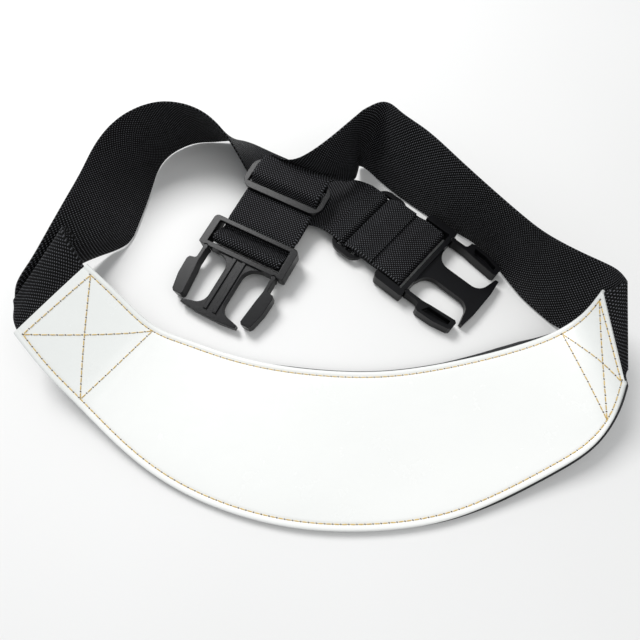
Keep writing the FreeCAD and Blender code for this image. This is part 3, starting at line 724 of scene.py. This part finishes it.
def sew_line(beads, line):
    """Thread ends along a line of (point, normal), with a dark bead of painted shade at the needle hole
    between each two.
    """
    points = np.array([point for point, _ in line])
    outs = np.array([out for _, out in line])
    run = run_along(points)
    length = run[-1]
    count = max(1, int(length / STITCH_PITCH))
    slanting = [0.3, 0.5, 0.2]
    for c in range(count + 1):
        at = length * c / count
        out = unit(at_distance(at, run, outs))
        sideways = unit(np.cross(out, slanting))
        centre = at_distance(at, run, points) - out * HOLE_SINK
        beads.add(centre, sideways, out, HOLE_HALF, HOLE_RADIUS, 1)
        if c == count:
            continue
        at = at + length / count / 2
        out = unit(at_distance(at, run, outs))
        ahead = at_distance(min(at + 1.0, length), run, points)
        behind = at_distance(max(at - 1.0, 0), run, points)
        waver = random.uniform(-THREAD_WAVER, THREAD_WAVER)
        along = unit(ahead - behind + waver * np.cross(out, ahead - behind))
        out = unit(out - along * (out @ along))
        centre = at_distance(at, run, points) + out * THREAD_RISE
        beads.add(centre, along, out, STITCH_LENGTH / 2, THREAD_RADIUS, 0)


def sew(name, lines, node):
    """One piece with the stitches of several lines."""
    beads = Beads()
    for line in lines:
        sew_line(beads, line)
    obj = mesh_object(name, beads.verts, beads.faces, sharp=PANEL_SHARP)
    finish_piece(obj, ROOT, "thread", THREAD, HOLE_SHADE)
    # Kind 1 beads take the painted shade of the needle holes.
    obj.data.polygons.foreach_set("material_index", beads.kinds)
    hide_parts(node)


def face_line(first, second, count=40):
    """Line on the face between two (row, x) places."""
    places = [(first[0] + (second[0] - first[0]) * c / count, first[1] + (second[1] - first[1]) * c / count)
              for c in range(count + 1)]
    return [face_point(row, x) for row, x in places]


def border_seam(corner, inner):
    """Seam along one long edge, between the ends' corners with this number."""
    rows = range(int(BOXES["left"][corner]), int(BOXES["right"][corner]) + 2)
    return [face_point(row, panel_width[row] - SEAM_INSET if inner else SEAM_INSET) for row in rows]


def box_lines(corner_rows):
    """Two sides and both diagonals of a sewn box; the border seams are its other two sides."""
    end_outer, far_outer = [(row, SEAM_INSET) for row in corner_rows[::2]]
    end_inner, far_inner = [(row, float(np.interp(row, range(PANEL_ROWS), panel_width)) - SEAM_INSET)
                            for row in corner_rows[1::2]]
    return [face_line(end_outer, end_inner), face_line(far_outer, far_inner),
            face_line(end_outer, far_inner), face_line(end_inner, far_outer)]


sew("border_stitches", [border_seam(0, inner=False), border_seam(1, inner=True)], "border_stitching")
for side, corner_rows in BOXES.items():
    sew(f"{side}_box_stitches", box_lines(corner_rows), f"{side}_box_stitching")


# ---------------------------------------------------------------- threaded webbing
def tangent_line(first, second):
    """Ends and heading of the straight run from one wheel to the next; a wheel is (x, z, radius, turn)."""
    x1, z1, r1, t1 = first
    x2, z2, r2, t2 = second
    distance = math.hypot(x2 - x1, z2 - z1)
    heading = math.atan2(z2 - z1, x2 - x1) + math.asin((t1 * r1 - t2 * r2) / distance)
    across = (math.sin(heading), -math.cos(heading))
    start = (x1 + across[0] * r1 * t1, z1 + across[1] * r1 * t1)
    finish = (x2 + across[0] * r2 * t2, z2 + across[1] * r2 * t2)
    return start, finish, heading


def threading(slider_distance, run_in, over_bar):
    """Wheels that the webbing's centre line passes, in order, as (x, z, radius, turn).

    It comes in over or under the slider's far bar.
    """
    slider_x = -slider_distance
    bar_z = SLIDER_BOTTOM + SLIDER_THICK / 2
    loop = SLIDER_BAR + GAP + WEB_THICK / 2
    plug_loop = LOOP_BAR + GAP + WEB_THICK / 2
    # Bends beside the slider's bar, and wide ones where the webbing comes down a layer past the tail's end.
    bend, side = 2.4, 7.1
    down = 6.0
    down_from_x, down_to_x = 1.5 - TAIL_END, -10.3
    entry = [(slider_x - run_in, MAIN_LEVEL, 0, 1), (slider_x - side, MAIN_LEVEL + bend, bend, 1)]
    if over_bar:
        entry = [(slider_x - run_in, OVER_BAR, 0, 1)]
    return entry + [
        (slider_x, bar_z, loop + LAYER_STEP, -1),
        (slider_x + side, MAIN_LEVEL + bend, bend, 1),
        (down_from_x, BACK_LEVEL - down, down + LAYER_STEP, -1),
        (down_to_x, BACK_LEVEL + down, down, 1),
        (0, LOOP_BAR_HEIGHT, plug_loop, -1),
        (down_to_x, BACK_LEVEL + down, down + LAYER_STEP, -1),
        (down_from_x, BACK_LEVEL - down, down, 1),
        (slider_x + side, MAIN_LEVEL + bend, bend + LAYER_STEP, -1),
        (slider_x, bar_z, loop, 1),
        (slider_x + side, MAIN_LEVEL + bend, bend + 2 * LAYER_STEP, 1),
        (-TAIL_END, TAIL_LEVEL, 0, 1),
    ]


def belt_points(wheels):
    """Dense centre line of the belt with its headings."""
    lines = [tangent_line(first, second) for first, second in zip(wheels, wheels[1:])]
    points, headings = [], []
    for index, (start, finish, heading) in enumerate(lines):
        length = math.hypot(finish[0] - start[0], finish[1] - start[1])
        count = max(1, int(length / BELT_STEP))
        for c in range(count + 1):
            points.append((start[0] + (finish[0] - start[0]) * c / count,
                           start[1] + (finish[1] - start[1]) * c / count))
            headings.append(heading)
        if index < len(lines) - 1:
            x, z, radius, turn = wheels[index + 1]
            sweep = ((lines[index + 1][2] - heading) * turn) % (2 * math.pi) * turn
            steps = max(2, int(abs(sweep) / BELT_TURN))
            for c in range(1, steps):
                angle = heading + sweep * c / steps
                points.append((x + math.sin(angle) * radius * turn, z - math.cos(angle) * radius * turn))
                headings.append(angle)
    return np.array(points), np.array(headings)


def cut_at(points, headings, place):
    """Split a belt line wherever it crosses x = place; returns runs of (points, headings)."""
    runs = []
    run_points, run_headings = [points[0]], [headings[0]]
    for i in range(1, len(points)):
        before, after = points[i - 1][0] - place, points[i][0] - place
        if before * after < 0:
            share = before / (before - after)
            cut_point = points[i - 1] + (points[i] - points[i - 1]) * share
            cut_heading = headings[i - 1] + (headings[i] - headings[i - 1]) * share
            run_points.append(cut_point)
            run_headings.append(cut_heading)
            runs.append((np.array(run_points), np.array(run_headings)))
            run_points, run_headings = [cut_point], [cut_heading]
        if np.linalg.norm(points[i] - run_points[-1]) > 1e-6:
            run_points.append(points[i])
            run_headings.append(headings[i])
    runs.append((np.array(run_points), np.array(run_headings)))
    return runs


def strip_on(buckle, points, headings):
    """Rulings and normals of a belt run laid in a buckle's frame."""
    a = np.array([buckle.point(x, -WEB_WIDTH / 2, z) for x, z in points])
    b = np.array([buckle.point(x, WEB_WIDTH / 2, z) for x, z in points])
    n = np.array([buckle.out * math.cos(angle) - buckle.along * math.sin(angle) for angle in headings])
    return a, b, n


def join_objects(name, parts):
    """One object from several."""
    if len(parts) > 1:
        with bpy.context.temp_override(active_object=parts[0], selected_editable_objects=parts):
            bpy.ops.object.join()
    parts[0].name = name
    parts[0].data.name = name
    return parts[0]


# ---------------------------------------------------------------- straps
WEB_OUTLINE = webbing_outline()


def sewn_end(picked):
    """Webbing-wide rulings centred on the panel's own, each from the outer edge's side to the inner's."""
    ends = []
    for pair in picked:
        a, b = laid(pair)
        spare = (np.linalg.norm(b - a) - WEB_WIDTH) / 2
        along = unit(b - a)
        ends.append((a + along * spare, b - along * spare))
    return ends


def led_to_buckle(strips, buckle, level, swapped):
    """The strips with the start of the threaded end as their last ruling but one, and a guide beyond it."""
    start = -buckle.slider - buckle.run_in
    ends = [buckle.point(start, -WEB_WIDTH / 2, level), buckle.point(start, WEB_WIDTH / 2, level)]
    guides = [end + buckle.along * GUIDE_REACH for end in ends]
    if swapped:
        ends, guides = ends[::-1], guides[::-1]
    return strips[:-1] + [strips[-1] + [ends, guides]]


def build_free_run(strap, buckle, strips):
    """Webbing from its sewn-in end to the threaded end, above the floor, and its length."""
    parts, travelled = [], 0.0
    for number, strip in enumerate(strips):
        final = number == len(strips) - 1
        a, b, n = smooth_rulings(strip, STRAP_STEP, spare=1 if final else 0)
        for selvedge in (a, b):
            selvedge[:, 2] = np.maximum(selvedge[:, 2], LOWEST_SELVEDGE)
        if final:
            n[-1] = buckle.out if n[-1] @ buckle.out > 0 else -buckle.out
        part, travelled = swept(f"{strap}_{number}", a, b, n, WEB_OUTLINE, travelled)
        parts.append(part)
    return join_objects(f"{strap}_webbing", parts), travelled


def build_strap(strap, side, strips, swapped):
    """A whole strap: sewn-in end, folds and free run, and the threaded end split where its slider moves it.

    It is swapped where its rulings run across the buckle the other way.
    """
    buckle = BUCKLE[side]
    over_bar = side == "left"
    strips = led_to_buckle(strips, buckle, OVER_BAR if over_bar else MAIN_LEVEL, swapped)
    main, travelled = build_free_run(strap, buckle, strips)
    finish_piece(main, ROOT, "webbing", WEBBING)

    slider_x = -buckle.slider
    points, headings = belt_points(threading(buckle.slider, buckle.run_in, over_bar))
    lines = cut_at(points, headings, slider_x)
    runs = []
    for number, (run_points, run_headings) in enumerate(lines):
        a, b, n = strip_on(buckle, run_points, run_headings)
        closed_ends = (False, number == len(lines) - 1)
        run, travelled = swept(f"{strap}_run_{number}", a, b, n, WEB_OUTLINE, travelled, closed_ends)
        runs.append(run)
    into = join_objects(f"{strap}_into_slider", [runs[0]])
    around = join_objects(f"{strap}_around_slider_bar", [runs[2]])
    beyond = join_objects(f"{strap}_to_plug", [runs[1], runs[3]])
    body = f"{side}_slider"
    finish_piece(into, None, "webbing", WEBBING)
    finish_piece(beyond, None, "webbing", WEBBING)
    finish_piece(around, body, "webbing", WEBBING)
    buckle.metres(slider_x - buckle.run_in, 0, BLEND_LEVEL)
    buckle.metres(slider_x - FOLLOWS_BEFORE, 0, BLEND_LEVEL)
    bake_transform(into)
    buckle.metres(slider_x + FOLLOWS_AFTER, 0, BLEND_LEVEL)
    buckle.metres(slider_x + STILL_AFTER, 0, BLEND_LEVEL)
    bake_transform(beyond)
    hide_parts(strap)
    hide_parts(f"{strap}_loop")


left_sewn = sewn_end(PANEL_RULINGS[:3])[::-1]
right_sewn = [(b, a) for a, b in sewn_end(PANEL_RULINGS[-3:])]
left_strips = [left_sewn + [laid(pair) for pair in LEFT_RISE + LEFT_FOLD], [laid(pair) for pair in LEFT_RUN]]
right_strips = [right_sewn + [laid(pair) for pair in RIGHT_RISE], [laid(pair) for pair in RIGHT_RUN],
                [laid(pair) for pair in RIGHT_DROP]]
build_strap("left_strap", "right", left_strips, swapped=True)
build_strap("right_strap", "left", right_strips, swapped=False)

# ---------------------------------------------------------------- moulded parts kept from the CAD
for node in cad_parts.values():
    if node.hide_render:
        continue
    node.data.materials.clear()
    node.data.materials.append(PLASTIC)
    node.data.polygons.foreach_set("use_smooth", [True] * len(node.data.polygons))
    node.data.set_sharp_from_angle(angle=math.radians(PLASTIC_SHARP))


# ---------------------------------------------------------------- floor, light and camera
def floor_material():
    """Plain pale table."""
    material, tree, base = shader("floor_pale")
    cloud = noise(tree, scale=3.0, detail=2.0)
    colour = ramp(tree, cloud, (0.3, (0.785, 0.782, 0.772)), (0.7, (0.815, 0.812, 0.805)))
    tree.links.new(colour, base.inputs["Base Color"])
    base.inputs["Roughness"].default_value = 0.6
    return material


FLOOR_REACH = 3000
FLOOR_LEVEL = -0.2
floor_corners = [(x * FLOOR_REACH, y * FLOOR_REACH, FLOOR_LEVEL)
                 for x, y in ((-1, -1), (1, -1), (1, 1), (-1, 1))]
floor = mesh_object("floor", floor_corners, [(0, 1, 2, 3)])
floor.data.materials.append(floor_material())

bpy.context.scene.view_settings.view_transform = "Standard"
world = bpy.data.worlds.new("studio")
world.use_nodes = True
background = world.node_tree.nodes["Background"]
background.inputs["Color"].default_value = (0.95, 0.975, 1.0, 1.0)
background.inputs["Strength"].default_value = 0.50
bpy.context.scene.world = world


def area_light(name, place, width, power, colour=(1.0, 1.0, 1.0)):
    """Square soft light aimed at the middle of the object; sizes in metres, power in watts."""
    data = bpy.data.lights.new(name, "AREA")
    data.size = width
    data.energy = power
    data.color = colour
    light = bpy.data.objects.new(name, data)
    light.location = place
    light.rotation_euler = (-Vector(place)).to_track_quat("-Z", "Y").to_euler()
    bpy.context.scene.collection.objects.link(light)


area_light("key", place=(-0.50, 0.70, 1.05), width=0.55, power=15.0)
area_light("fill", place=(0.6, -0.5, 1.1), width=1.2, power=3.6, colour=(1.0, 0.985, 0.96))

# The camera stands over the layout's origin, tilted towards the back.
CAMERA_HEIGHT = 276.0
CAMERA_TILT = 24.0
camera_data = bpy.data.cameras.new("camera")
camera_data.sensor_width = 36.0
camera_data.lens = 27.0
camera_data.clip_start = 0.01
camera = bpy.data.objects.new("camera", camera_data)
camera.location = tuple(laid([0.0, 0.0, CAMERA_HEIGHT]) * MM)
camera.rotation_euler = (math.radians(CAMERA_TILT), 0.0, 0.0)
bpy.context.scene.collection.objects.link(camera)
bpy.context.scene.camera = camera
